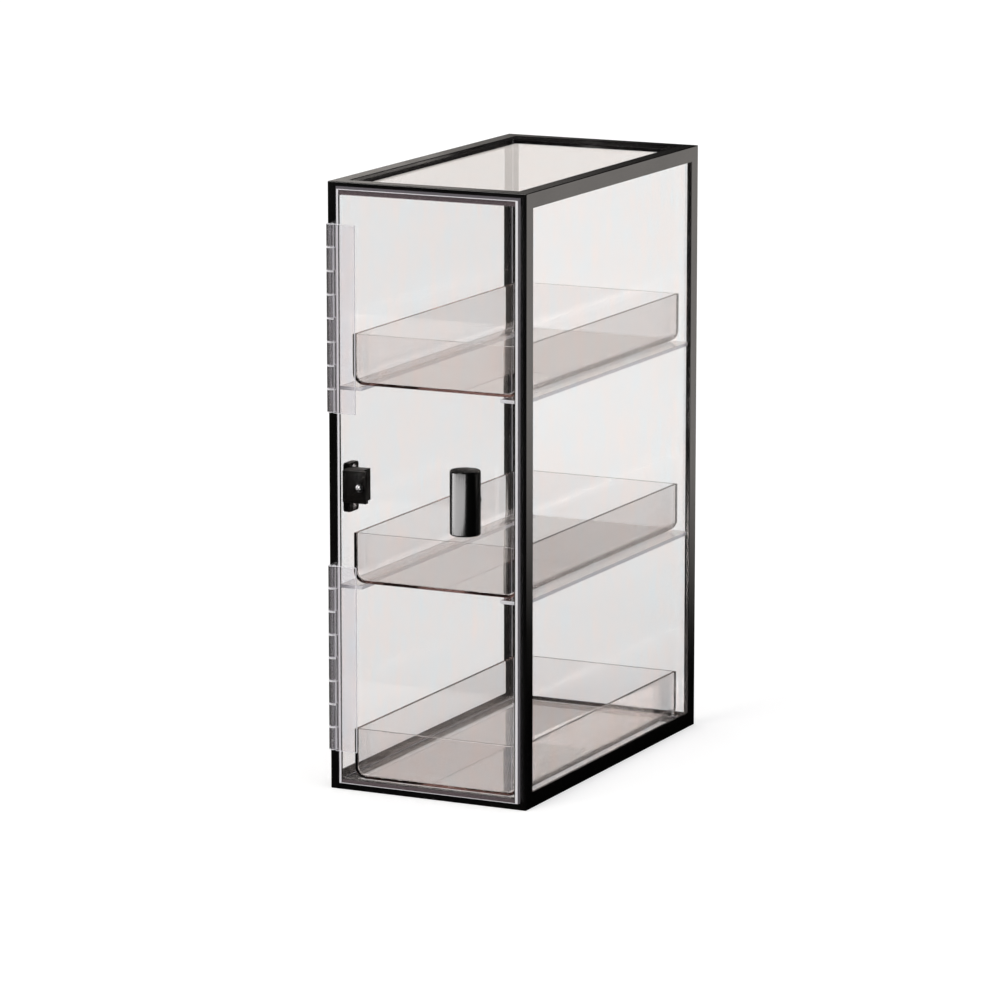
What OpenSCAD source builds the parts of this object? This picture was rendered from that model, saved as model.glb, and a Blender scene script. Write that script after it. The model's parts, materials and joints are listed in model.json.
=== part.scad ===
// Countertop display case: an angle frame glazed with clear acrylic, three trays on ledges,
// and a clear front door on two knuckle hinges, with a bar knob and a magnetic catch.
// Millimetres. +Z is up and the door faces -Y. The origin is on the surface that the case
// stands on, under the middle of its overall box.

/* [Case] */
// Width of the frame over its outer faces
case_w = 175; // [150:1:240]
// Depth of the frame over its outer faces
case_d = 330; // [240:1:480]
// Height of the frame over its outer faces
case_h = 495; // [470:1:540]

/* [Frame] */
// Thickness of the steel angle
steel_t = 3.2; // [2:0.1:4.5]
// Width of the angle's leg as seen on the front and rear faces
front_face = 10; // [8:0.1:13]
// Width of the angle's leg as seen on the two sides
side_face = 12.7; // [10:0.1:16]
// Width of the leg that lies flat at the top and at the bottom
flange = 12.7; // [9:0.1:16]

/* [Panels] */
// Thickness of the clear panels
panel_t = 3; // [2:0.1:5]
// Gap between the edge of the top or floor panel and the frame
panel_gap = 0.2; // [0.1:0.05:0.5]

/* [Trays] */
// Height from one tray to the next
tray_pitch = 161.8; // [140:0.1:165]
// Height of a tray's walls
tray_h = 41; // [25:1:50]
// Thickness of the tray sheet
tray_t = 2.5; // [2:0.1:4]
// Outer radius of the bend between a tray's floor and its side walls
tray_bend_r = 10; // [6:0.5:14]
// Gap between a tray and each side panel
tray_side_gap = 7.6; // [3:0.1:12]
// Distance from the frame's front plane back to the tray
tray_setback = 16.8; // [12:0.1:40]
// Gap between a tray and the rear panel
tray_rear_gap = 5.1; // [1:0.1:20]
// Thickness of the cement round a tray's end plates
bond_gap = 0.05; // [0.02:0.01:0.1]
// Lift of a tray clear of what it slides on
tray_lift = 0.2; // [0.1:0.05:0.5]
// Width of a ledge that carries a tray
ledge_w = 20; // [16:0.5:26]
// Thickness of a ledge
ledge_t = 3; // [2:0.1:5]
// Distance from the frame's front plane back to a ledge
ledge_setback = 8; // [5:0.5:14]

/* [Door] */
// Thickness of the door
door_t = 3.2; // [2.5:0.1:6]
// Frame left showing on the hinge side of the door
door_left = 8.4; // [8.2:0.1:9.8]
// Frame left showing on the opening side of the door
door_right = 4; // [1:0.1:8]
// Frame left showing above the door
door_top = 3.2; // [1:0.1:8]
// Frame left showing below the door
door_bottom = 6.2; // [1:0.1:8]

/* [Hinges] */
// Length of one hinge
hinge_len = 152.4; // [100:0.1:180]
// Number of knuckles in one hinge
knuckles = 8; // [4:1:12]
// Distance from the end of the frame to the near end of a hinge
hinge_end = 33; // [20:0.5:50]
// Distance from the frame's left face to the hinge pin
hinge_inset = 4; // [3.6:0.1:4.4]
// Thickness of a hinge leaf
leaf_t = 1.5; // [1:0.1:2]
// Width of the door leaf, from the pin
door_leaf_w = 23; // [14:0.5:30]
// Gap between the knuckles along the pin
knuckle_gap = 0.5; // [0.3:0.1:1]
// Radius of a hinge pin
pin_r = 1.2; // [0.8:0.1:1.5]
// Radial clearance of a pin in its knuckles
pin_clear = 0.05; // [0.02:0.01:0.1]
// Gap between the moving knuckles and the frame
hinge_gap = 0.2; // [0.15:0.05:0.4]
// Gap between the door and the hinge leaf on the frame
door_gap = 0.4; // [0.3:0.1:1]
// Gap between a leaf's edge and the other leaf's knuckles
relief_gap = 0.4; // [0.3:0.1:0.6]

/* [Knob] */
// Radius of the bar knob
knob_r = 12.3; // [8:0.1:18]
// Height of the bar knob
knob_h = 52; // [30:1:90]
// Bevel at the knob's ends
knob_bevel = 0.9; // [0.3:0.1:2]
// Depth of the flat where the knob meets its spacer
knob_flat = 1.2; // [0.8:0.1:2]
// Distance from the door's opening edge to the knob's axis
knob_inset = 40; // [25:1:60]
// Height of the knob and of the strike above the door's middle
latch_up = 1.2; // [-10:0.1:10]
// Radius of the spacer between the knob and the door
spacer_r = 5; // [3.5:0.1:5]
// Length of the spacer
spacer_len = 3; // [1:0.5:10]
// Radius of the washer inside the door
washer_r = 6; // [5:0.1:9]
// Thickness of that washer
washer_t = 1; // [0.5:0.1:2]

/* [Catch] */
// Height of the catch's base plate
catch_h = 40; // [38:1:50]
// Depth of the base plate, back along the side panel
catch_depth = 17; // [14:0.5:22]
// Thickness of the base plate
catch_t = 5.5; // [4:0.1:6]
// Radius of the base plate's corners
catch_r = 2.5; // [1:0.5:4]
// Gap between the base plate and the post's side leg
catch_gap = 0.5; // [0.3:0.1:1]
// Distance from the magnet housing's middle down to the base plate's middle
catch_drop = 4.3; // [0:0.1:6]
// Width of the magnet housing
housing_w = 17.4; // [14:0.1:20]
// Height of the magnet housing
housing_h = 26; // [24:1:28]
// Reach of the magnet housing back along the base plate
housing_root = 4; // [3:0.5:8]
// Wall of the magnet housing
housing_wall = 1.6; // [1:0.1:2.2]
// Depth of the magnet and its pole plates
magnet_d = 7; // [5:0.1:8]
// Thickness of one pole plate
pole_t = 1.4; // [1:0.1:2]
// Gap round the magnet and its pole plates
magnet_fit = 0.1; // [0.05:0.05:0.3]
// Gap between the strike and the magnet housing with the door closed
strike_gap = 0.3; // [0.2:0.1:1]
// Width of the strike plate
strike_w = 21; // [16:0.5:22]
// Height of the strike plate
strike_h = 26; // [18:1:30]
// Thickness of the strike plate
strike_t = 4.3; // [3.5:0.1:6]
// Reach of the strike plate past the magnet housing
strike_lap = 5.4; // [2:0.1:8]

/* [Screws] */
// Radius of every screw's shank
shank_r = 1.5; // [1:0.1:1.8]
// Radial clearance of a shank in its hole
shank_clear = 0.1; // [0.05:0.05:0.3]
// Radius of a screw's head on the door
head_r = 3.4; // [2.8:0.1:4.2]
// Radius of a catch screw's head
catch_head_r = 2.6; // [2.4:0.1:2.8]
// Height of every screw's head
head_h = 1.9; // [1.2:0.1:2.5]
// Width of the cross cut in a head
cross_w = 0.8; // [0.5:0.1:1.2]
// Depth of the cross cut in a head
cross_depth = 0.9; // [0.5:0.1:1.1]
// Length of the cross cut in a head
cross_len = 4; // [2.5:0.1:4.5]
// Distance between the two catch screws
catch_screw_pitch = 32; // [28:0.5:33]
// Distance from the strike screw to the strike's free edge
strike_screw_edge = 5; // [4:0.1:8]
// Plastic left past the end of a blind screw hole
blind_wall = 0.8; // [0.5:0.1:1.2]
// Depth of the knob's screw hole
knob_hole = 9; // [6:0.5:12]

/* [Hidden] */
$fn = 64;

// Finishes
powder_black = [0.06, 0.06, 0.07];
clear_sheet = [0.86, 0.88, 0.92, 0.35];
tray_sheet = [0.88, 0.82, 0.82, 0.4];
satin_black = [0.10, 0.10, 0.11];
plastic_black = [0.05, 0.05, 0.05];
bright_steel = [0.75, 0.76, 0.78];
ferrite_grey = [0.22, 0.22, 0.24];

// Length past a face that a cut goes, so that it opens the face cleanly
cut = 1;
hole_r = shank_r + shank_clear;

// All pieces are drawn with x from the frame's left face, y back from its front plane and
// z up from the surface, and side_in is the inner face of a side panel.
side_in = steel_t + panel_t;
floor_z = steel_t + panel_t;
roof_z = case_h - steel_t - panel_t;
rear_in = case_d - steel_t - panel_t;

// Trays
tray_w = case_w - 2 * (side_in + tray_side_gap);
tray_y0 = tray_setback;
tray_y1 = rear_in - tray_rear_gap;
lower_tray_z = floor_z + tray_lift;
middle_tray_z = lower_tray_z + tray_pitch;
upper_tray_z = middle_tray_z + tray_pitch;

// Hinge and door, stacked forward of the frame's front plane: the leaf on the frame, a gap,
// the door, and the leaf on the door, with knuckles as thick as the stack
hinge_r = (2 * leaf_t + door_gap + door_t - hinge_gap) / 2;
hinge_y = -(hinge_gap + hinge_r);
door_back = -(leaf_t + door_gap);
door_front = door_back - door_t;
door_x1 = case_w - door_right;
door_z0 = door_bottom;
door_z1 = case_h - door_top;
latch_z = (door_z0 + door_z1) / 2 + latch_up;
lower_hinge_z = hinge_end;
upper_hinge_z = case_h - hinge_end - hinge_len;
knuckle_pitch = hinge_len / knuckles;
leaf_root = hinge_inset + hinge_r + relief_gap;

// Knob
knob_x = door_x1 - knob_inset;
knob_y = door_front - spacer_len - (knob_r - knob_flat);
knob_reach = knob_r - knob_y;
knob_screw_len = door_t + washer_t + spacer_len + knob_hole - blind_wall;

// Catch
catch_x1 = side_in + catch_t;
catch_y0 = side_face + catch_gap;
catch_z = latch_z - catch_drop;
catch_screw_len = catch_t + panel_t - blind_wall - shank_clear;
strike_back = door_back + strike_t;
housing_x1 = catch_x1 + housing_w;
housing_y0 = strike_back + strike_gap;
housing_d = catch_y0 + housing_root - housing_y0;
magnet_w = housing_w - 2 * housing_wall - 2 * magnet_fit;
magnet_h = housing_h - 2 * housing_wall - 2 * magnet_fit;
strike_x1 = housing_x1 + strike_lap;
strike_x0 = strike_x1 - strike_w;
strike_screw_x = strike_x1 - strike_screw_edge;

// Place of the frame's front plane, which puts the overall box over the origin
front_y = (knob_reach - case_d) / 2;

// Moves a piece from the case's own measures to the origin
module placed() translate([-case_w / 2, front_y, 0]) children();

// Flat strip with mitred ends, its long edge along x
module mitred(length, depth)
    polygon([[0, 0], [length, 0], [length - depth, depth], [depth, depth]]);

// Frame rail along x: a leg on the outer face and a flat flange, at the bottom or the top
module rail(length, leg_h, at_top) {
    leg_z = at_top ? case_h - leg_h : 0;
    flange_z = at_top ? case_h - steel_t : 0;
    color(powder_black) {
        translate([0, 0, leg_z]) linear_extrude(leg_h) mitred(length, steel_t);
        translate([0, 0, flange_z]) linear_extrude(steel_t) mitred(length, flange);
    }
}
module front_rail(at_top) rail(case_w, front_face, at_top);
module rear_rail(at_top) translate([0, case_d, 0]) mirror([0, 1, 0]) front_rail(at_top);
module left_rail(at_top) mirror([1, -1, 0]) rail(case_d, side_face, at_top);
module right_rail(at_top) translate([case_w, 0, 0]) mirror([1, 0, 0]) left_rail(at_top);

// Corner post: two legs that meet on the mitre line and end on the rails
module post() color(powder_black) {
    translate([0, 0, front_face]) linear_extrude(case_h - 2 * front_face)
        polygon([[0, 0], [front_face, 0], [front_face, steel_t], [steel_t, steel_t]]);
    translate([0, 0, side_face]) linear_extrude(case_h - 2 * side_face)
        polygon([[0, 0], [steel_t, steel_t], [steel_t, side_face], [0, side_face]]);
}
module right_side() translate([case_w, 0, 0]) mirror([1, 0, 0]) children();
module rear_side() translate([0, case_d, 0]) mirror([0, 1, 0]) children();

module front_left_post() placed() post();
module front_right_post() placed() right_side() post();
module rear_left_post() placed() rear_side() post();
module rear_right_post() placed() rear_side() right_side() post();
module top_front_rail() placed() front_rail(true);
module top_rear_rail() placed() rear_rail(true);
module top_left_rail() placed() left_rail(true);
module top_right_rail() placed() right_rail(true);
module bottom_front_rail() placed() front_rail(false);
module bottom_rear_rail() placed() rear_rail(false);
module bottom_left_rail() placed() left_rail(false);
module bottom_right_rail() placed() right_rail(false);

// Clear panels inside the angle: sides and rear stand between the floor and the top
module side_sheet()
    translate([steel_t, steel_t, floor_z])
        cube([panel_t, case_d - 2 * steel_t, roof_z - floor_z]);
module flat_sheet(z)
    translate([steel_t + panel_gap, steel_t + panel_gap, z])
        cube([case_w - 2 * (steel_t + panel_gap), case_d - 2 * (steel_t + panel_gap), panel_t]);

// Places a piece at each of the two catch screws, its z axis into the case
module at_catch_screws(x)
    for (side = [-1, 1])
        translate([x, catch_y0 + catch_depth / 2, catch_z + side * catch_screw_pitch / 2])
            rotate([0, 90, 0]) children();

module left_panel() placed() color(clear_sheet) difference() {
    side_sheet();
    at_catch_screws(steel_t + blind_wall) cylinder(r = hole_r, h = panel_t);
}
module right_panel() placed() color(clear_sheet) right_side() side_sheet();
module rear_panel() placed() color(clear_sheet)
    translate([side_in, rear_in, floor_z])
        cube([case_w - 2 * side_in, panel_t, roof_z - floor_z]);
module top_panel() placed() color(clear_sheet) flat_sheet(roof_z);
module floor_panel() placed() color(clear_sheet) flat_sheet(steel_t);

// Ledge bonded to the left panel, its top just under a tray
module ledge(tray_z) color(clear_sheet)
    translate([side_in, ledge_setback, tray_z - tray_lift - ledge_t])
        cube([ledge_w, rear_in - ledge_setback, ledge_t]);
module upper_left_ledge() placed() ledge(upper_tray_z);
module upper_right_ledge() placed() right_side() ledge(upper_tray_z);
module middle_left_ledge() placed() ledge(middle_tray_z);
module middle_right_ledge() placed() right_side() ledge(middle_tray_z);

// Outline of a tray seen from the front, standing on y = 0, with round lower corners
module tray_outline(w, h, r) {
    translate([-w / 2, r]) square([w, h - r]);
    translate([-w / 2 + r, 0]) square([w - 2 * r, h]);
    for (side = [-1, 1])
        translate([side * (w / 2 - r), r]) circle(r);
}

// Stands an outline up and carries it back from a start to an end
module tray_run(z, y0, y1)
    translate([case_w / 2, y1, z]) rotate([90, 0, 0]) linear_extrude(y1 - y0) children();

module tray_channel(z) color(tray_sheet) difference() {
    tray_run(z, tray_y0, tray_y1) tray_outline(tray_w, tray_h, tray_bend_r);
    tray_run(z + tray_t, tray_y0 - cut, tray_y1 + cut)
        tray_outline(tray_w - 2 * tray_t, tray_h, tray_bend_r - tray_t);
}

// End plate, inside the channel and on its floor
module tray_plate(z, y0) color(tray_sheet)
    tray_run(z + tray_t + bond_gap, y0, y0 + tray_t)
        tray_outline(
            tray_w - 2 * (tray_t + bond_gap), tray_h - tray_t - bond_gap,
            tray_bend_r - tray_t - bond_gap
        );
module tray_front(z) tray_plate(z, tray_y0);
module tray_back(z) tray_plate(z, tray_y1 - tray_t);

module upper_tray_channel() placed() tray_channel(upper_tray_z);
module upper_tray_front() placed() tray_front(upper_tray_z);
module upper_tray_back() placed() tray_back(upper_tray_z);
module middle_tray_channel() placed() tray_channel(middle_tray_z);
module middle_tray_front() placed() tray_front(middle_tray_z);
module middle_tray_back() placed() tray_back(middle_tray_z);
module lower_tray_channel() placed() tray_channel(lower_tray_z);
module lower_tray_front() placed() tray_front(lower_tray_z);
module lower_tray_back() placed() tray_back(lower_tray_z);

// Screw along z with its head's flat face on z = 0: domed head above, shank below
module screw(shank_len, r) {
    dome_r = (r * r + head_h * head_h) / (2 * head_h);
    difference() {
        intersection() {
            cylinder(r = r, h = head_h);
            translate([0, 0, head_h - dome_r]) sphere(dome_r);
        }
        for (turn = [0, 90])
            rotate([0, 0, turn])
                translate([-cross_len / 2, -cross_w / 2, head_h - cross_depth])
                    cube([cross_len, cross_w, cross_depth + cut]);
    }
    translate([0, 0, -shank_len]) cylinder(r = shank_r, h = shank_len);
}

// Door, drilled for the knob's screw and the strike's screw
module door_panel() placed() color(clear_sheet) difference() {
    translate([door_left, door_front, door_z0])
        cube([door_x1 - door_left, door_t, door_z1 - door_z0]);
    for (x = [knob_x, strike_screw_x])
        translate([x, door_back + cut, latch_z])
            rotate([90, 0, 0]) cylinder(r = hole_r, h = door_t + 2 * cut);
}

// One leaf with every second knuckle: it runs the hinge's whole length from its root, and
// reaches the pin only at its own knuckles
module leaf(z, first, y0, width) color(clear_sheet) difference() {
    union() {
        translate([leaf_root, y0, z]) cube([hinge_inset + width - leaf_root, leaf_t, hinge_len]);
        for (k = [first : 2 : knuckles - 1])
            translate([0, 0, z + k * knuckle_pitch + knuckle_gap / 2]) {
                translate([hinge_inset, y0, 0])
                    cube([hinge_r + relief_gap, leaf_t, knuckle_pitch - knuckle_gap]);
                translate([hinge_inset, hinge_y, 0])
                    cylinder(r = hinge_r, h = knuckle_pitch - knuckle_gap);
            }
    }
    translate([hinge_inset, hinge_y, z - cut])
        cylinder(r = pin_r + pin_clear, h = hinge_len + 2 * cut);
}
module door_leaf(z) leaf(z, 1, door_front - leaf_t, door_leaf_w);
module frame_leaf(z) leaf(z, 0, -leaf_t, front_face - hinge_inset);
module hinge_pin(z) color(bright_steel)
    translate([hinge_inset, hinge_y, z]) cylinder(r = pin_r, h = hinge_len);

module upper_door_leaf() placed() door_leaf(upper_hinge_z);
module lower_door_leaf() placed() door_leaf(lower_hinge_z);
module upper_frame_leaf() placed() frame_leaf(upper_hinge_z);
module lower_frame_leaf() placed() frame_leaf(lower_hinge_z);
module upper_hinge_pin() placed() hinge_pin(upper_hinge_z);
module lower_hinge_pin() placed() hinge_pin(lower_hinge_z);

// Bar knob: an upright cylinder with bevelled ends and a flat on the door's side
module knob() placed() color(satin_black) difference() {
    translate([knob_x, knob_y, latch_z - knob_h / 2]) rotate_extrude()
        polygon([
            [0, 0], [knob_r - knob_bevel, 0], [knob_r, knob_bevel],
            [knob_r, knob_h - knob_bevel], [knob_r - knob_bevel, knob_h], [0, knob_h]
        ]);
    translate([knob_x - knob_r, knob_y + knob_r - knob_flat, latch_z - knob_h / 2 - cut])
        cube([2 * knob_r, knob_flat + cut, knob_h + 2 * cut]);
    translate([knob_x, knob_y + knob_r - knob_flat + cut, latch_z])
        rotate([90, 0, 0]) cylinder(r = hole_r, h = knob_hole + cut);
}
module knob_spacer() placed() color(satin_black)
    translate([knob_x, door_front, latch_z]) rotate([90, 0, 0]) difference() {
        cylinder(r = spacer_r, h = spacer_len);
        translate([0, 0, -cut]) cylinder(r = hole_r, h = spacer_len + 2 * cut);
    }
module knob_washer() placed() color(bright_steel)
    translate([knob_x, door_back + washer_t, latch_z]) rotate([90, 0, 0]) difference() {
        cylinder(r = washer_r, h = washer_t);
        translate([0, 0, -cut]) cylinder(r = hole_r, h = washer_t + 2 * cut);
    }
module knob_screw() placed() color(bright_steel)
    translate([knob_x, door_back + washer_t, latch_z])
        rotate([-90, 0, 0]) screw(knob_screw_len, head_r);

// Rectangle with four round corners
module rounded(w, h, r) {
    translate([r, 0]) square([w - 2 * r, h]);
    translate([0, r]) square([w, h - 2 * r]);
    for (x = [r, w - r], y = [r, h - r])
        translate([x, y]) circle(r);
}

// Base plate on the side panel, with the magnet housing forward of it, open to the door
module catch_body() placed() color(plastic_black) difference() {
    union() {
        translate([side_in, catch_y0, catch_z - catch_h / 2]) rotate([90, 0, 90])
            linear_extrude(catch_t) rounded(catch_depth, catch_h, catch_r);
        translate([catch_x1, housing_y0, latch_z - housing_h / 2])
            cube([housing_w, housing_d, housing_h]);
    }
    translate([
        catch_x1 + housing_wall, housing_y0 - cut, latch_z - housing_h / 2 + housing_wall
    ])
        cube([
            housing_w - 2 * housing_wall, magnet_d + cut, housing_h - 2 * housing_wall
        ]);
    at_catch_screws(side_in - cut) cylinder(r = hole_r, h = catch_t + 2 * cut);
}

// The magnet stands between two pole plates, flush with the front of the housing
module magnet_slab(x, w)
    translate([x, housing_y0, latch_z - magnet_h / 2]) cube([w, magnet_d, magnet_h]);
module catch_magnet() placed() color(ferrite_grey)
    magnet_slab(catch_x1 + housing_wall + magnet_fit + pole_t, magnet_w - 2 * pole_t);
module catch_pole_plates() placed() color(bright_steel)
    for (x = [0, magnet_w - pole_t])
        magnet_slab(catch_x1 + housing_wall + magnet_fit + x, pole_t);
module catch_screws() placed() color(bright_steel)
    at_catch_screws(catch_x1) screw(catch_screw_len, catch_head_r);

module strike_plate() placed() color(plastic_black) difference() {
    translate([strike_x0, door_back, latch_z - strike_h / 2])
        cube([strike_w, strike_t, strike_h]);
    translate([strike_screw_x, strike_back - blind_wall, latch_z])
        rotate([90, 0, 0]) cylinder(r = hole_r, h = strike_t);
}
module strike_screw() placed() color(bright_steel)
    translate([strike_screw_x, door_front, latch_z])
        rotate([90, 0, 0]) screw(door_t + strike_t - blind_wall - shank_clear, head_r);

front_left_post();
front_right_post();
rear_left_post();
rear_right_post();
top_front_rail();
top_rear_rail();
top_left_rail();
top_right_rail();
bottom_front_rail();
bottom_rear_rail();
bottom_left_rail();
bottom_right_rail();
left_panel();
right_panel();
rear_panel();
top_panel();
floor_panel();
upper_left_ledge();
upper_right_ledge();
middle_left_ledge();
middle_right_ledge();
upper_tray_channel();
upper_tray_front();
upper_tray_back();
middle_tray_channel();
middle_tray_front();
middle_tray_back();
lower_tray_channel();
lower_tray_front();
lower_tray_back();
door_panel();
upper_door_leaf();
lower_door_leaf();
upper_frame_leaf();
lower_frame_leaf();
upper_hinge_pin();
lower_hinge_pin();
knob();
knob_spacer();
knob_washer();
knob_screw();
catch_body();
catch_magnet();
catch_pole_plates();
catch_screws();
strike_plate();
strike_screw();
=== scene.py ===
import json
import math

import bmesh
import bpy
import numpy as np
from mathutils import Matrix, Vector


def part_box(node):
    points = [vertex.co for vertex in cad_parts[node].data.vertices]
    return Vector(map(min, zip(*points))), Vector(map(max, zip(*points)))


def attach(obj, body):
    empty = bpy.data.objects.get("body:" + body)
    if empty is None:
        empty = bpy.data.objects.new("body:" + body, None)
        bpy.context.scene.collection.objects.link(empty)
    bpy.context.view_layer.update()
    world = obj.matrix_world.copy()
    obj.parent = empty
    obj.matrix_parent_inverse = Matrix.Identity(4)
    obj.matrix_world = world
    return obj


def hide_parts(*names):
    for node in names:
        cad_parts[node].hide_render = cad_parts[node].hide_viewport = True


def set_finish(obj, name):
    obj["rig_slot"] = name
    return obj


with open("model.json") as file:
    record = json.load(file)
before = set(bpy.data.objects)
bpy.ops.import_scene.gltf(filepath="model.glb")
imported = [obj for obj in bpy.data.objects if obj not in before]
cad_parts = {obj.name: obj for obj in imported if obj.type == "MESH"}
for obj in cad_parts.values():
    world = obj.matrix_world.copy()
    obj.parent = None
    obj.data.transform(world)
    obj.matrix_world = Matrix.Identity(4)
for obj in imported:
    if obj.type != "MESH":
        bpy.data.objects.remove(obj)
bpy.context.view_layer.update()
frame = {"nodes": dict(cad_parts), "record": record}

bodyOf = {node: body for body, nodes in frame["record"]["behaviour"]["bodies"].items() for node in nodes}
slotOf = {row["node"]: row["material_slot"] for row in frame["record"]["subparts"]}
mm = 0.001


# Node trees

def newMaterial(name):
    material = bpy.data.materials.new(name)
    material.use_nodes = True
    material.node_tree.nodes.clear()
    return material, material.node_tree


def feed(tree, socket, value):
    # A socket takes another node's output or a constant
    if isinstance(value, bpy.types.NodeSocket):
        tree.links.new(value, socket)
    else:
        socket.default_value = value


def addNode(tree, kind, **inputs):
    node = tree.nodes.new(kind)
    for name, value in inputs.items():
        feed(tree, node.inputs[name], value)
    return node


def mathNode(tree, operation, *values):
    node = tree.nodes.new("ShaderNodeMath")
    node.operation = operation
    for socket, value in zip(node.inputs, values):
        feed(tree, socket, value)
    return node.outputs[0]


def mapRange(tree, value, low, high, toLow, toHigh, smooth=False):
    node = tree.nodes.new("ShaderNodeMapRange")
    node.interpolation_type = "SMOOTHSTEP" if smooth else "LINEAR"
    tree.links.new(value, node.inputs["Value"])
    for name, number in (("From Min", low), ("From Max", high), ("To Min", toLow), ("To Max", toHigh)):
        node.inputs[name].default_value = number
    return node.outputs["Result"]


def objectPoint(tree, stretch=(1, 1, 1)):
    coordinates = tree.nodes.new("ShaderNodeTexCoord")
    mapping = addNode(tree, "ShaderNodeMapping", Scale=stretch)
    tree.links.new(coordinates.outputs["Object"], mapping.inputs["Vector"])
    return mapping.outputs["Vector"]


def objectPart(tree, axis):
    # One of the object's own coordinates
    parts = tree.nodes.new("ShaderNodeSeparateXYZ")
    tree.links.new(objectPoint(tree), parts.inputs[0])
    return parts.outputs[axis]


def fromMiddle(tree, low, high):
    # How far a point's height is from the middle of low and high, and half their distance
    height = mathNode(tree, "SUBTRACT", objectPart(tree, "Z"), (low + high) / 2)
    return mathNode(tree, "ABSOLUTE", height), (high - low) / 2


def noise(tree, scale, detail=3.0, stretch=(1, 1, 1), roughness=0.5):
    node = addNode(tree, "ShaderNodeTexNoise", Scale=scale, Detail=detail, Roughness=roughness)
    tree.links.new(objectPoint(tree, stretch), node.inputs["Vector"])
    return node


def colourMix(tree, factor, first, second):
    node = tree.nodes.new("ShaderNodeMix")
    node.data_type = "RGBA"
    for name, value in (("Factor", factor), ("A", first), ("B", second)):
        feed(tree, node.inputs[name], value)
    return node.outputs["Result"]


def shaderMix(tree, factor, first, second):
    node = tree.nodes.new("ShaderNodeMixShader")
    for socket, value in zip(node.inputs, (factor, first, second)):
        tree.links.new(value, socket)
    return node.outputs[0]


def bumped(tree, height, strength, distance):
    node = addNode(tree, "ShaderNodeBump", Strength=strength, Distance=distance, Height=height)
    return node.outputs["Normal"]


def finishMaterial(tree, surface, volume=None):
    output = tree.nodes.new("ShaderNodeOutputMaterial")
    tree.links.new(surface, output.inputs["Surface"])
    if volume is not None:
        tree.links.new(volume, output.inputs["Volume"])


# Objects

def newItem(data):
    item = bpy.data.objects.new(data.name, data)
    bpy.context.scene.collection.objects.link(item)
    return item


def direction(azimuth, elevation=0.0):
    # Degrees round from the door's side towards the right, and degrees above level
    azimuth, elevation = math.radians(azimuth), math.radians(elevation)
    return Vector((math.sin(azimuth) * math.cos(elevation), -math.cos(azimuth) * math.cos(elevation),
                   math.sin(elevation)))


def faceFrom(item, way):
    # Turns a camera or a lamp that stands that way from the case, so that it faces the case
    item.rotation_mode = "QUATERNION"
    item.rotation_quaternion = (-way).to_track_quat("-Z", "Y")


# Stage: camera, world, floor and lamps

camera = {
    "azimuth": 25.929,      # degrees round from the door's side towards the right
    "elevation": 11.133,    # degrees above level
    "distance": 4.4428,     # metres from the middle of the frame
    "aside": -0.0141,       # metres that the aim lies to the right of the middle
    "aimHeight": 0.21574,   # metres above the floor
    "sensor": 36.0,
    "lens": 194.58,
    "reach": (0.05, 60.0),
}
studio = {
    "ambient": 0.62,          # the room's even light
    "throughSheets": 1.0,     # how bright the backdrop is behind clear sheets, where 1 is white
    "mirrorHigh": 12.0,       # degrees above level where the backdrop ends, as a mirror sees it
    "mirrorFade": 2.5,        # degrees to either side over which it fades there
    "mirrorAbove": 0.02,      # what is left of it above that
    # As the coat sees it, it is dark at the first and bright at the second of these, in degrees left of
    # straight behind
    "mirrorLeft": (24.3, 28.3),
    "mirrorLeast": 0.02,      # what is left of it where it is dark
    "mirrorStart": (0.5, 0.8),  # how far back a mirrored ray points, of 1, where it starts and is full
    "mirrorGuard": 0.1,       # keeps the slope from dividing by nothing
    "mirrorBack": (0.86, 0.81, 0.77, 1),  # its colour in a mirror
    "mirrorFront": 0.015,     # the dark room behind the camera, as a mirror sees it
    "mirrorInside": 0.8,      # the least of the room that shows after a reflection inside a sheet
    "floorInside": (0.06, 0.15),  # the least of the floor that shows there, and its share
    "floorColour": (0.7, 0.7, 0.7, 1),
    "floorSize": 16.0,        # metres
    "floorLift": 0.45,        # what the floor adds where it is seen straight
    "floorLiftThrough": 0.48,  # and where it is seen through a sheet
    "floorDark": 0.35,        # metres back from the middle where it starts to show in a mirror
    "floorBright": 1.5,       # and where it shows fully
}
# Broad suns: degrees round from the door's side towards the right, degrees above level, degrees wide
lamps = {
    "key": {"azimuth": -18.0, "elevation": 28.0, "width": 32.0,
            "strength": 1.4, "colour": (1.0, 0.97, 0.93)},
    "fill": {"azimuth": 75.0, "elevation": 45.0, "width": 60.0,
             "strength": 0.5, "colour": (0.95, 0.97, 1.0), "mirrored": False},
}
# The wide low card at the front left that only the knob mirrors, as a bright band up its left half:
# metres from the knob, above the floor, wide and high, and watts
knobCard = {"azimuth": -30.0, "distance": 0.35, "height": 0.165, "size": (1.0, 0.21), "power": 6.2,
            "colour": (1.0, 0.98, 0.98)}
# The light that only the catch's and the strike's screws mirror
screwCard = {"azimuth": -60.0, "elevation": -10.0, "width": 120.0,
             "strength": 3.0, "colour": (1.0, 0.98, 0.96)}


def makeCamera():
    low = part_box("bottom_front_rail")[0]
    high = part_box("bottom_rear_rail")[1]
    back, right = direction(camera["azimuth"], camera["elevation"]), direction(camera["azimuth"] + 90)
    data = bpy.data.cameras.new("camera")
    data.sensor_width = camera["sensor"]
    data.lens = camera["lens"]
    data.clip_start, data.clip_end = camera["reach"]
    item = newItem(data)
    aim = Vector(((low.x + high.x) / 2, (low.y + high.y) / 2, camera["aimHeight"]))
    item.location = aim + right * camera["aside"] + back * camera["distance"]
    faceFrom(item, back)
    bpy.context.scene.camera = item


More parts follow.
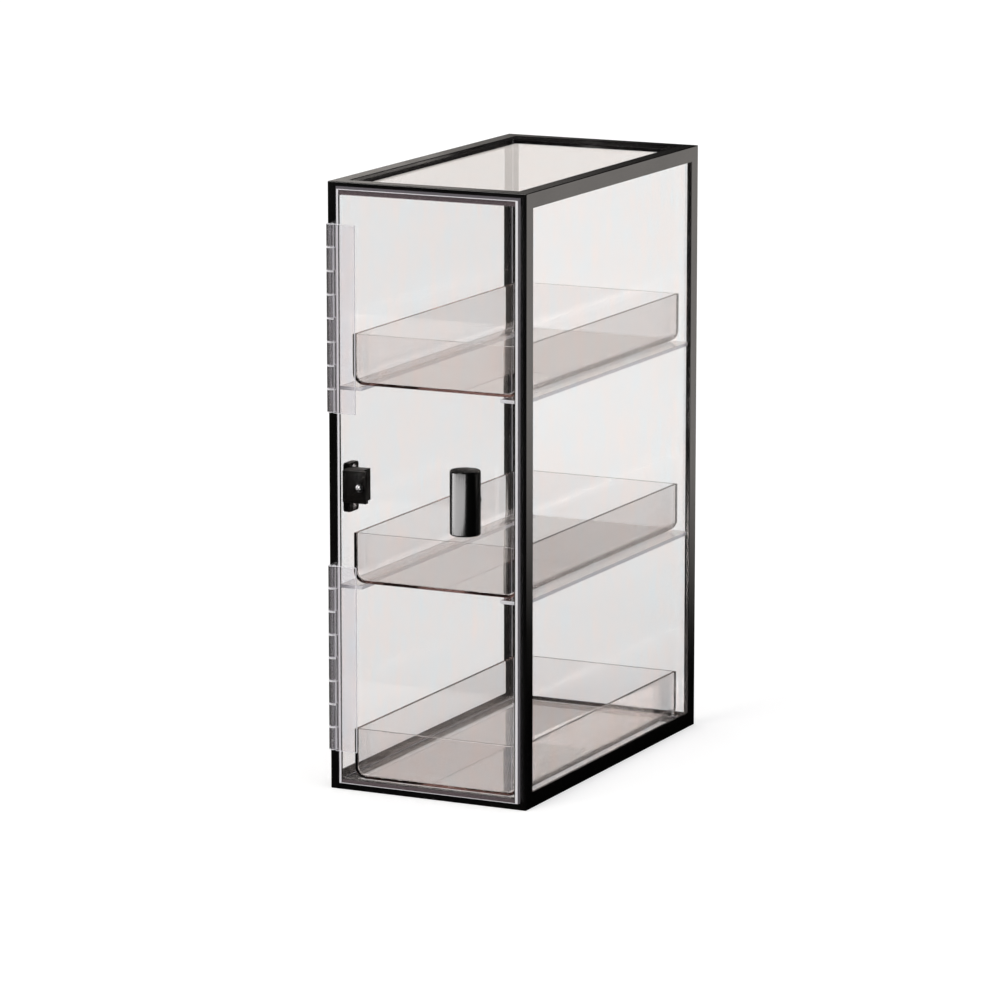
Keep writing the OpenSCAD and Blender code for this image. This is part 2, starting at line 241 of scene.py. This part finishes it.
def rayKinds(tree):
    # Rays that see the backdrop straight, rays that see it through clear sheets only, rays that were
    # mirrored on their way, and the rest, which carry the room's even light. Inside is 1 for a mirrored
    # ray that comes out of a sheet, and fromSheet for any ray from a sheet rather than the coat
    rays = tree.nodes.new("ShaderNodeLightPath")
    straight, bent = rays.outputs["Is Camera Ray"], rays.outputs["Is Transmission Ray"]
    sharp = mathNode(tree, "MAXIMUM", bent, rays.outputs["Is Glossy Ray"])
    bounced = mathNode(tree, "MINIMUM", rays.outputs["Glossy Depth"], 1.0)
    mirrored = mathNode(tree, "MULTIPLY", sharp, bounced)
    return {
        "straight": straight,
        "through": mathNode(tree, "SUBTRACT", sharp, mirrored),
        "mirrored": mirrored,
        "rest": mathNode(tree, "SUBTRACT", mathNode(tree, "SUBTRACT", 1.0, straight), sharp),
        "inside": mathNode(tree, "MULTIPLY", mirrored, bent),
        "fromSheet": rays.outputs["Is Singular Ray"],
    }


def makeWorld():
    world = bpy.data.worlds.new("studio")
    bpy.context.scene.world = world
    world.use_nodes = True
    tree = world.node_tree
    tree.nodes.clear()
    ray = tree.nodes.new("ShaderNodeTexCoord")
    parts = tree.nodes.new("ShaderNodeSeparateXYZ")
    tree.links.new(ray.outputs["Generated"], parts.inputs[0])
    behind = mapRange(tree, parts.outputs["Y"], *studio["mirrorStart"], studio["mirrorFront"], 1.0, True)
    high, fade = studio["mirrorHigh"], studio["mirrorFade"]
    heights = [math.sin(math.radians(angle)) for angle in (high - fade, high + fade)]
    low = mapRange(tree, parts.outputs["Z"], *heights, 1.0, studio["mirrorAbove"], True)
    back = mathNode(tree, "MAXIMUM", parts.outputs["Y"], studio["mirrorGuard"])
    slope = mathNode(tree, "DIVIDE", parts.outputs["X"], back)
    turn = [-math.tan(math.radians(angle)) for angle in studio["mirrorLeft"]]
    rays = rayKinds(tree)
    dim = mapRange(tree, slope, *turn, studio["mirrorLeast"], 1.0, True)
    low = mathNode(tree, "MULTIPLY", low, mathNode(tree, "MAXIMUM", dim, rays["fromSheet"]))
    even = mathNode(tree, "MULTIPLY_ADD", rays["rest"], studio["ambient"], rays["straight"])
    even = mathNode(tree, "MULTIPLY_ADD", rays["through"], studio["throughSheets"], even)
    plain = addNode(tree, "ShaderNodeBackground", Color=(1, 1, 1, 1), Strength=even)
    least = mathNode(tree, "MULTIPLY", rays["inside"], studio["mirrorInside"])
    mirror = addNode(tree, "ShaderNodeBackground", Color=studio["mirrorBack"],
                     Strength=mathNode(tree, "MAXIMUM", mathNode(tree, "MULTIPLY", behind, low), least))
    output = tree.nodes.new("ShaderNodeOutputWorld")
    mixed = shaderMix(tree, rays["mirrored"], plain.outputs[0], mirror.outputs[0])
    tree.links.new(mixed, output.inputs["Surface"])


def makeFloor():
    # A square about the middle of the case, at the height it stands on
    half = studio["floorSize"] / 2
    corners = np.array([[-1, -1, 0], [1, -1, 0], [1, 1, 0], [-1, 1, 0]]) * half
    mesh = bpy.data.meshes.new("floor")
    mesh.from_pydata(corners.tolist(), [], [[0, 1, 2, 3]])
    item = newItem(mesh)
    material, tree = newMaterial("floor")
    rays = rayKinds(tree)
    paint = addNode(tree, "ShaderNodeBsdfDiffuse", Color=studio["floorColour"])
    lifted = mathNode(tree, "MULTIPLY", rays["straight"], studio["floorLift"])
    lifted = mathNode(tree, "MULTIPLY_ADD", rays["through"], studio["floorLiftThrough"], lifted)
    lift = addNode(tree, "ShaderNodeEmission", Strength=lifted)
    lit = addNode(tree, "ShaderNodeAddShader")
    tree.links.new(paint.outputs[0], lit.inputs[0])
    tree.links.new(lift.outputs[0], lit.inputs[1])
    span = studio["floorDark"], studio["floorBright"]
    far = mapRange(tree, objectPart(tree, "Y"), *span, 0.0, 1.0, True)
    least, share = studio["floorInside"]
    far = mathNode(tree, "MULTIPLY", far, mapRange(tree, rays["inside"], 0.0, 1.0, 1.0, share))
    far = mathNode(tree, "MAXIMUM", far, mathNode(tree, "MULTIPLY", rays["inside"], least))
    gloss = addNode(tree, "ShaderNodeEmission", Color=studio["mirrorBack"], Strength=far)
    finishMaterial(tree, shaderMix(tree, rays["mirrored"], lit.outputs[0], gloss.outputs[0]))
    mesh.materials.append(material)


def makeSun(name, lamp):
    data = bpy.data.lights.new(name, "SUN")
    data.energy = lamp["strength"]
    data.angle = math.radians(lamp["width"])
    data.color = lamp["colour"]
    item = newItem(data)
    item.visible_glossy = lamp.get("mirrored", True)
    faceFrom(item, direction(lamp["azimuth"], lamp["elevation"]))
    return item


def makeCard(name, values, node):
    low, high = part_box(node)
    way = direction(values["azimuth"])
    data = bpy.data.lights.new(name, "AREA")
    data.shape = "RECTANGLE"
    data.size, data.size_y = values["size"]
    data.energy = values["power"]
    data.color = values["colour"]
    item = newItem(data)
    item.visible_camera = False
    item.visible_transmission = False
    item.location = (low + high) / 2 + way * values["distance"]
    item.location.z = values["height"]
    faceFrom(item, way)
    return item


def lightOnly(lamp, receivers):
    chosen = bpy.data.collections.new(lamp.name + "_receivers")
    for item in receivers:
        chosen.objects.link(item)
    lamp.light_linking.receiver_collection = chosen
    lamp.light_linking.blocker_collection = chosen


# Materials

noiseSpan = (0.3, 0.7)        # nearly all of a noise lies between these
coat = {
    "colour": (0.0016, 0.0014, 0.0014, 1),
    "roughness": 0.2,
    "spread": (-0.03, 0.04),  # how far the roughness changes
    "cloud": 22.0,            # slow changes in a metre
    "ior": 1.6,
    "specular": 0.95,
    "peelSize": 700.0,
    "peelDepth": 0.01 * mm,
    "peelStrength": 0.3,
}
acrylic = {
    "ior": 1.49,
    "mottle": 60.0,           # patches in a metre, three times as tall as they are wide
    "streaks": 280.0,         # fine streaks in a metre, five times as tall as they are wide
    "streakShare": 0.4,       # how much of the tint comes from them
    "patchShape": (1, 1, 0.33),
    "patchDetail": (5.0, 0.62),  # how many finer layers, and how strong each is beside the last
    "streakShape": (1, 1, 0.2),
    "tintSpan": (0.36, 0.64),  # where the noise turns from warm to cool
    "shadow": (0.96, 0.96, 0.96, 1),  # what passes of a shadow ray
}
tints = {
    "clear_acrylic": {"warm": (1.0, 0.952, 0.927, 1), "cool": (0.94, 0.98, 0.99, 1),
                      "absorb": (0.72, 0.66, 0.74, 1), "density": 22.0, "haze": 0.0},
    "tray_acrylic": {"warm": (1.0, 0.98, 0.975, 1), "cool": (0.995, 0.985, 0.985, 1),
                     "absorb": (0.62, 0.45, 0.42, 1), "density": 10.0, "haze": 0.0},
    "hinge_acrylic": {"warm": (0.97, 0.94, 0.95, 1), "cool": (0.94, 0.94, 0.97, 1),
                      "absorb": (0.72, 0.64, 0.72, 1), "density": 40.0, "haze": 0.04},
}
# Painted light: the door is paler and lilac where it overlaps the rails, standing in for light on the
# rails behind it: how much of the door's clearness that takes, and its colour
paintedRailLight = {"haze": 0.16, "colour": (0.4, 0.33, 0.35, 1), "fade": 0.6 * mm}
turned = {
    "colour": (0.0006, 0.0006, 0.0006, 1),
    "roughness": 0.2,
    "spread": 0.03,
    "grain": 160.0,
    "grainShape": (1, 1, 8),
    "specular": 0.5,
    "endSpecular": 0.006,
    "end": (0.3 * mm, 0.05 * mm),  # how far below the ends the gloss starts to change, and has changed
}
# Sawn edges, and a darker copy of them that paints shade on the door's ends
sawn = {"colour": (0.9, 0.89, 0.93, 1), "clear": 0.25, "roughness": 0.5}
doorEndShade = {"colour": (0.13, 0.12, 0.135, 1), "clear": 0.2, "roughness": 0.5}
sawGrain = {"size": 900.0, "spread": 0.06}


def uneven(tree, shader, pattern, low, high):
    # The roughness follows the pattern between low and high
    rough = mapRange(tree, pattern.outputs["Fac"], *noiseSpan, low, high)
    tree.links.new(rough, shader.inputs["Roughness"])


def frameCoat():
    # Semi-gloss powder coat: fine orange peel, and a slow change of gloss
    material, tree = newMaterial("frame_coat")
    shader = addNode(tree, "ShaderNodeBsdfPrincipled")
    shader.inputs["Base Color"].default_value = coat["colour"]
    shader.inputs["IOR"].default_value = coat["ior"]
    shader.inputs["Specular IOR Level"].default_value = coat["specular"]
    low, high = (coat["roughness"] + step for step in coat["spread"])
    uneven(tree, shader, noise(tree, coat["cloud"]), low, high)
    peel = noise(tree, coat["peelSize"], 2.0).outputs["Fac"]
    normal = bumped(tree, peel, coat["peelStrength"], coat["peelDepth"])
    tree.links.new(normal, shader.inputs["Normal"])
    finishMaterial(tree, shader.outputs[0])
    return material


def openToShadows(tree, shader):
    # Shadow rays and diffuse rays pass straight through
    rays = tree.nodes.new("ShaderNodeLightPath")
    passes = mathNode(tree, "MAXIMUM", rays.outputs["Is Shadow Ray"], rays.outputs["Is Diffuse Ray"])
    clear = addNode(tree, "ShaderNodeBsdfTransparent", Color=acrylic["shadow"])
    return shaderMix(tree, passes, shader, clear.outputs[0])


def doorBorder(tree):
    # 1 where the closed door overlaps the top and bottom rails, 0 elsewhere, which is where the painted
    # light goes
    away, half = fromMiddle(tree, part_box("bottom_front_rail")[1].z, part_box("top_front_rail")[0].z)
    return mapRange(tree, away, half, half + paintedRailLight["fade"], 0.0, 1.0, True)


def clearSheet(name, edged=False):
    # Clear to the eye, open to shadow and diffuse rays, and tinted by its depth. Faint upright patches
    # and streaks, warm and cool, are the sheet's own, from its casting
    tint = tints[name]
    material, tree = newMaterial(name + "_bordered" if edged else name)
    detail, fineness = acrylic["patchDetail"]
    patches = noise(tree, acrylic["mottle"], detail, acrylic["patchShape"], fineness)
    streaks = noise(tree, acrylic["streaks"], 2.0, acrylic["streakShape"])
    span, share = acrylic["tintSpan"], acrylic["streakShare"]
    cool = mapRange(tree, patches.outputs["Fac"], *span, 0.0, 1.0 - share)
    cool = mathNode(tree, "ADD", cool, mapRange(tree, streaks.outputs["Fac"], *span, 0.0, share))
    colour = colourMix(tree, cool, tint["warm"], tint["cool"])
    shader = addNode(tree, "ShaderNodeBsdfPrincipled")
    shader.inputs["Transmission Weight"].default_value = 1.0 - tint["haze"]
    if edged:
        # Painted light over the rails: the door is paler, lilac and less clear there
        where = doorBorder(tree)
        colour = colourMix(tree, where, colour, paintedRailLight["colour"])
        clear = mapRange(tree, where, 0.0, 1.0, 1.0 - tint["haze"], 1.0 - paintedRailLight["haze"])
        tree.links.new(clear, shader.inputs["Transmission Weight"])
    tree.links.new(colour, shader.inputs["Base Color"])
    shader.inputs["Roughness"].default_value = 0.0
    shader.inputs["IOR"].default_value = acrylic["ior"]
    absorb = addNode(tree, "ShaderNodeVolumeAbsorption", Color=tint["absorb"], Density=tint["density"])
    finishMaterial(tree, openToShadows(tree, shader.outputs[0]), absorb.outputs[0])
    return material


def sawnEdge(name, values):
    # A sawn and scraped edge: it scatters light, and some of it passes
    material, tree = newMaterial(name)
    shader = addNode(tree, "ShaderNodeBsdfPrincipled")
    shader.inputs["Base Color"].default_value = values["colour"]
    shader.inputs["Transmission Weight"].default_value = values["clear"]
    shader.inputs["IOR"].default_value = acrylic["ior"]
    mean, step = values["roughness"], sawGrain["spread"]
    uneven(tree, shader, noise(tree, sawGrain["size"], 2.0), mean - step, mean + step)
    finishMaterial(tree, openToShadows(tree, shader.outputs[0]))
    return material


def knobFinish():
    # Turned and dyed black, with a fine grain round it and an even satin gloss, and dull on its ends
    material, tree = newMaterial("knob_black")
    shader = addNode(tree, "ShaderNodeBsdfPrincipled")
    shader.inputs["Base Color"].default_value = turned["colour"]
    away, half = fromMiddle(tree, *(corner.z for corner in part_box("knob")))
    first, last = (half - step for step in turned["end"])
    gloss = mapRange(tree, away, first, last, turned["specular"], turned["endSpecular"], True)
    tree.links.new(gloss, shader.inputs["Specular IOR Level"])
    grain = noise(tree, turned["grain"], 2.0, turned["grainShape"])
    mean, step = turned["roughness"], turned["spread"]
    uneven(tree, shader, grain, mean - step, mean + step)
    finishMaterial(tree, shader.outputs[0])
    return material


plain = {
    "catch_black": {"colour": (0.0016, 0.0012, 0.001, 1), "metallic": 0.0,
                    "roughness": 0.4, "specular": 0.12},
    "bright_steel": {"colour": (0.68, 0.68, 0.7, 1), "metallic": 1.0,
                     "roughness": 0.25, "specular": 0.5},
    "ferrite": {"colour": (0.09, 0.09, 0.095, 1), "metallic": 0.0,
                "roughness": 0.6, "specular": 0.5},
}
plainGrain = {"cloud": 60.0, "spread": 0.1, "size": 600.0, "strength": 0.3, "depth": 0.01 * mm}


def plainFinish(name):
    # One colour, with a fine grain and a slow change of gloss
    values = plain[name]
    material, tree = newMaterial(name)
    shader = addNode(tree, "ShaderNodeBsdfPrincipled")
    shader.inputs["Base Color"].default_value = values["colour"]
    shader.inputs["Metallic"].default_value = values["metallic"]
    shader.inputs["Specular IOR Level"].default_value = values["specular"]
    mean, share = values["roughness"], plainGrain["spread"]
    uneven(tree, shader, noise(tree, plainGrain["cloud"]), mean * (1 - share), mean * (1 + share))
    height = noise(tree, plainGrain["size"], 2.0).outputs["Fac"]
    normal = bumped(tree, height, plainGrain["strength"], plainGrain["depth"])
    tree.links.new(normal, shader.inputs["Normal"])
    finishMaterial(tree, shader.outputs[0])
    return material


def makeMaterials():
    finishes = {"frame_coat": frameCoat(), "knob_black": knobFinish()}
    finishes.update({name: clearSheet(name) for name in tints})
    finishes.update({name: plainFinish(name) for name in plain})
    return finishes


# Pieces

# The frame as one seamless shell. Space is cut into cells by the planes where the angle's legs begin
# and end. A cell is steel where it is within the steel's thickness of an outer face and within a leg's
# width of a second outer face. The shell is every face between a steel cell and an empty one
shell = {
    "rounding": 0.6 * mm,
    "segments": 3,
    "sharp": 0.5,             # the cosine between two faces below which their edge is rounded
}


def standsFor(item, *nodes):
    # The piece takes the first node's body and slot, and hides the nodes' own meshes
    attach(item, bodyOf[nodes[0]])
    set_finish(item, slotOf[nodes[0]])
    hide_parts(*nodes)
    return item


def planes(low, high, steps):
    # The outer faces, and each step in from either of them
    return np.array([low] + [low + s for s in steps] + [high - s for s in reversed(steps)] + [high])


def frameShell(bars):
    low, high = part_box("bottom_front_rail")[0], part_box("top_rear_rail")[1]
    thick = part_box("left_panel")[0].x - low.x
    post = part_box("front_left_post")
    leg = {"front": post[1].x - low.x, "side": post[1].y - low.y,
           "flange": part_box("bottom_left_rail")[1].x - low.x}
    low, high = np.array(low), np.array(high)
    steps = sorted({round(s, 6) for s in (thick, *leg.values())})
    grid = [planes(low[axis], high[axis], steps) for axis in range(3)]
    middle = np.meshgrid(*[(line[1:] + line[:-1]) / 2 for line in grid], indexing="ij")
    depth = [np.minimum(middle[axis] - low[axis], high[axis] - middle[axis]) for axis in range(3)]
    onX, onY, onZ = (depth[axis] < thick for axis in range(3))
    steel = onX & ((depth[1] < leg["side"]) | (depth[2] < leg["side"]))
    steel |= onY & ((depth[0] < leg["front"]) | (depth[2] < leg["front"]))
    steel |= onZ & ((depth[0] < leg["flange"]) | (depth[1] < leg["flange"]))

    padded = np.pad(steel, 1)
    size = [len(line) for line in grid]
    quads = []
    for axis in range(3):
        first, second = [a for a in range(3) if a != axis]
        for side in (0, 1):
            beside = np.roll(padded, 1 - 2 * side, axis)[1:-1, 1:-1, 1:-1]
            cell = np.argwhere(steel & ~beside)
            cell[:, axis] += side
            turn = [(0, 0), (1, 0), (1, 1), (0, 1)]
            if (side == 0) != (axis == 1):
                turn.reverse()
            corner = np.repeat(cell[:, None, :], 4, axis=1)
            corner[:, :, first] += [a for a, b in turn]
            corner[:, :, second] += [b for a, b in turn]
            quads.append(np.ravel_multi_index(np.moveaxis(corner, -1, 0), size))
    quads = np.concatenate(quads)
    used, index = np.unique(quads, return_inverse=True)
    place = np.stack([grid[a][i] for a, i in enumerate(np.unravel_index(used, size))], 1)
    mesh = bpy.data.meshes.new("frame_shell")
    mesh.from_pydata(place.tolist(), [], index.reshape(-1, 4).tolist())
    weighConvexEdges(mesh)
    item = newItem(mesh)
    mesh.polygons.foreach_set("use_smooth", np.ones(len(mesh.polygons), bool))
    soft = item.modifiers.new("rounding", "BEVEL")
    soft.limit_method = "WEIGHT"
    soft.width = shell["rounding"]
    soft.segments = shell["segments"]
    soft.harden_normals = True
    return standsFor(item, *bars)


def edgeSides(mesh):
    # For each edge between two faces: the edge, both faces, and the angle's cosine between them
    loopEdge = np.empty(len(mesh.loops), np.int32)
    mesh.loops.foreach_get("edge_index", loopEdge)
    sizes = np.empty(len(mesh.polygons), np.int32)
    mesh.polygons.foreach_get("loop_total", sizes)
    face = np.repeat(np.arange(len(sizes)), sizes)
    order = np.argsort(loopEdge, kind="stable")
    edge, face = loopEdge[order], face[order]
    pair = np.flatnonzero(edge[1:] == edge[:-1])
    normal = np.empty((len(sizes), 3))
    mesh.polygons.foreach_get("normal", normal.ravel())
    left, right = face[pair], face[pair + 1]
    return edge[pair], left, right, np.sum(normal[left] * normal[right], 1), normal


def weighConvexEdges(mesh):
    # A convex edge has the second face's middle behind the first face. Only those are rounded, so the
    # angle's inner corners stay clear of the sheets that sit in them
    edge, left, right, cosine, normal = edgeSides(mesh)
    middle = np.empty((len(mesh.polygons), 3))
    mesh.polygons.foreach_get("center", middle.ravel())
    behind = np.sum((middle[right] - middle[left]) * normal[left], 1) < 0
    weight = np.zeros(len(mesh.edges))
    weight[edge[behind & (cosine < shell["sharp"])]] = 1
    layer = mesh.attributes.new("bevel_weight_edge", "FLOAT", "EDGE")
    layer.data.foreach_set("value", weight)


# How near double points lie, and how flat a face is, in degrees
merging = {"near": 0.002 * mm, "flat": 0.5}


def mergedCopy(node, name, inset=0.0):
    # The node's own mesh with its double points merged and its flat faces whole, drawn in from its box
    # by the inset on every side, so that no two sheets share a face
    mesh = frame["nodes"][node].data.copy()
    mesh.name = name
    mesh.materials.clear()
    work = bmesh.new()
    work.from_mesh(mesh)
    bmesh.ops.remove_doubles(work, verts=work.verts, dist=merging["near"])
    flat = math.radians(merging["flat"])
    bmesh.ops.dissolve_limit(work, angle_limit=flat, verts=work.verts, edges=work.edges)
    work.to_mesh(mesh)
    work.free()
    point = np.empty((len(mesh.vertices), 3))
    mesh.vertices.foreach_get("co", point.ravel())
    low, high = point.min(0), point.max(0)
    middle = (low + high) / 2
    point = middle + (point - middle) * (1 - 2 * inset / (high - low))
    mesh.vertices.foreach_set("co", point.ravel())
    mesh.polygons.foreach_set("use_smooth", np.zeros(len(mesh.polygons), bool))
    mesh.update()
    return standsFor(newItem(mesh), node)


def rounded(item, width, segments, angle):
    # Rounds the edges that turn by more than the angle, in degrees
    soft = item.modifiers.new("rounding", "BEVEL")
    soft.limit_method = "ANGLE"
    soft.angle_limit = math.radians(angle)
    soft.width = width
    soft.segments = segments
    soft.use_clamp_overlap = False
    return soft


# Each clear sheet, with its edges broken. The edges of the flat sheets and the ends of the hinges'
# knuckles are sawn, and the trays' edges are polished
sheetEdges = {
    "inset": 0.03 * mm,
    "clear_acrylic": 0.3 * mm,
    "tray_acrylic": 0.25 * mm,
    "hinge_acrylic": 0.35 * mm,
    "segments": 2,
    "angle": 40.0,
    "square": 0.99,           # a hinge's face that points this squarely along or across it is sawn
}


def sheetBox(node):
    # The node's box, drawn in by the inset on every side
    low, high = (np.array(corner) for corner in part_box(node))
    return low + sheetEdges["inset"], high - sheetEdges["inset"]


def flatSheet(node):
    # A plain box. Its screw holes are left out, since the screws that fill them are seen through the
    # sheet anyway
    low, high = sheetBox(node)
    thin = int(np.argmin(high - low))
    take = np.indices((2, 2, 2)).reshape(3, -1).T
    corners = np.where(take, high, low)
    faces = [[0, 1, 3, 2], [4, 6, 7, 5], [0, 4, 5, 1], [2, 3, 7, 6], [0, 2, 6, 4], [1, 5, 7, 3]]
    mesh = bpy.data.meshes.new(node + "_sheet")
    mesh.from_pydata(corners.tolist(), [], faces)
    mesh.polygons.foreach_set("material_index", np.array([a // 2 != thin for a in range(6)], np.int32))
    return standsFor(newItem(mesh), node)


# The door's ends slope in towards its front, where a bright scraped strip runs round it, and the rest of
# its ends carry painted shade. The widths are for the left, the right, the bottom and the top
doorEdges = {
    "back": 0.3 * mm,
    "slope": (1.9 * mm, 1.1 * mm, 0.1 * mm, 1.8 * mm),
    "strip": (1.8 * mm, 2.0 * mm, 0.6 * mm, 0.5 * mm),
    "stripDepth": 0.25 * mm,
}


def doorSheet(node):
    # Four rings of four corners, from the back to the front: the back face, the foot of its small
    # chamfer, the outer side of the bright strip, and the front face. Each ring is the door's outline,
    # drawn in by left, right, bottom and top, at the depth y. Only the strip is bright; the other bands
    # take a darker copy of the sawn edge, which paints shade
    low, high = sheetBox(node)
    small, slope, strip = doorEdges["back"], np.array(doorEdges["slope"]), np.array(doorEdges["strip"])
    left, right, bottom, top = np.stack([np.full(4, small), np.zeros(4), slope, slope + strip], 1)
    y = np.array([high[1], high[1] - small, low[1] + doorEdges["stripDepth"], low[1]])[:, None]
    x = np.stack([low[0] + left, high[0] - right, high[0] - right, low[0] + left], 1)
    z = np.stack([low[2] + bottom, low[2] + bottom, high[2] - top, high[2] - top], 1)
    corners = np.stack([x, np.broadcast_to(y, x.shape), z], -1).reshape(-1, 3)
    ring, i = np.divmod(np.arange(12), 4)
    j = (i + 1) % 4
    bands = np.stack([ring * 4 + 4 + i, ring * 4 + i, ring * 4 + j, ring * 4 + 4 + j], 1)
    faces = bands.tolist() + [[3, 2, 1, 0], [12, 13, 14, 15]]
    mesh = bpy.data.meshes.new(node + "_sheet")
    mesh.from_pydata(corners.tolist(), [], faces)
    # The strip takes the sawn edge, and the other bands take its darker copy, which is painted shade
    kinds = np.where(ring == 2, 1, 2)
    mesh.polygons.foreach_set("material_index", np.append(kinds, [0, 0]).astype(np.int32))
    return standsFor(newItem(mesh), node)


def shapedSheet(node):
    item = mergedCopy(node, node + "_sheet", sheetEdges["inset"])
    if slotOf[node] == "hinge_acrylic":
        mesh = item.data
        normal = np.empty((len(mesh.polygons), 3))
        mesh.polygons.foreach_get("normal", normal.ravel())
        edge = (np.abs(normal[:, [0, 2]]) > sheetEdges["square"]).any(1)
        mesh.polygons.foreach_set("material_index", edge.astype(np.int32))
    return item


def clearPiece(node):
    if node == "door_panel":
        return doorSheet(node)
    item = flatSheet(node) if slotOf[node] == "clear_acrylic" else shapedSheet(node)
    soft = rounded(item, sheetEdges[slotOf[node]], sheetEdges["segments"], sheetEdges["angle"])
    if slotOf[node] == "hinge_acrylic":
        soft.material = 1
    return item


# Moulded and turned black pieces, with their edges softly rounded
softEdges = {
    "knob": 0.5 * mm,
    "knob_spacer": 0.2 * mm,
    "catch_body": 0.45 * mm,
    "strike_plate": 0.45 * mm,
    "segments": 3,
    "angle": 22.0,
}


def softPiece(node):
    item = mergedCopy(node, node + "_soft")
    mesh = item.data
    mesh.polygons.foreach_set("use_smooth", np.ones(len(mesh.polygons), bool))
    soft = rounded(item, softEdges[node], softEdges["segments"], softEdges["angle"])
    soft.harden_normals = True
    return item


makeCamera()
makeWorld()
makeFloor()
for name, lamp in lamps.items():
    makeSun(name, lamp)
print("stage made")
materials = makeMaterials()
for node, item in frame["nodes"].items():
    item.data.materials.clear()
    item.data.materials.append(materials[slotOf[node]])
print("materials made:", len(materials))

made = [frameShell([node for node in frame["nodes"] if slotOf[node] == "frame_coat"])]
print("frame shell made")
sheets = [clearPiece(node) for node in frame["nodes"] if slotOf[node] in tints]
made += sheets + [softPiece(node) for node in ("knob", "knob_spacer", "catch_body", "strike_plate")]
doorMaterial = clearSheet("clear_acrylic", True)
for item in made:
    isDoor = item.name == "door_panel_sheet"
    item.data.materials.append(doorMaterial if isDoor else materials[item["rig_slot"]])
lightOnly(makeCard("knobCard", knobCard, "knob"), [item for item in made if "knob" in item.name])
screws = [frame["nodes"][node] for node in ("catch_screws", "strike_screw")]
lightOnly(makeSun("screwCard", screwCard), screws)
# The second finish is the sawn edge painted dark as shade, for the door's ends only
edges = [sawnEdge("sawn_edge", sawn), sawnEdge("door_end_shade", doorEndShade)]
for item in sheets:
    for material in edges[:2 if item.name == "door_panel_sheet" else 1]:
        item.data.materials.append(material)
print("pieces made:", len(made))

scene = bpy.context.scene
scene.view_settings.view_transform = "Standard"
scene.cycles.max_bounces = 32
scene.cycles.transmission_bounces = 32
scene.cycles.glossy_bounces = 24
scene.cycles.transparent_max_bounces = 48
scene.cycles.use_denoising = True
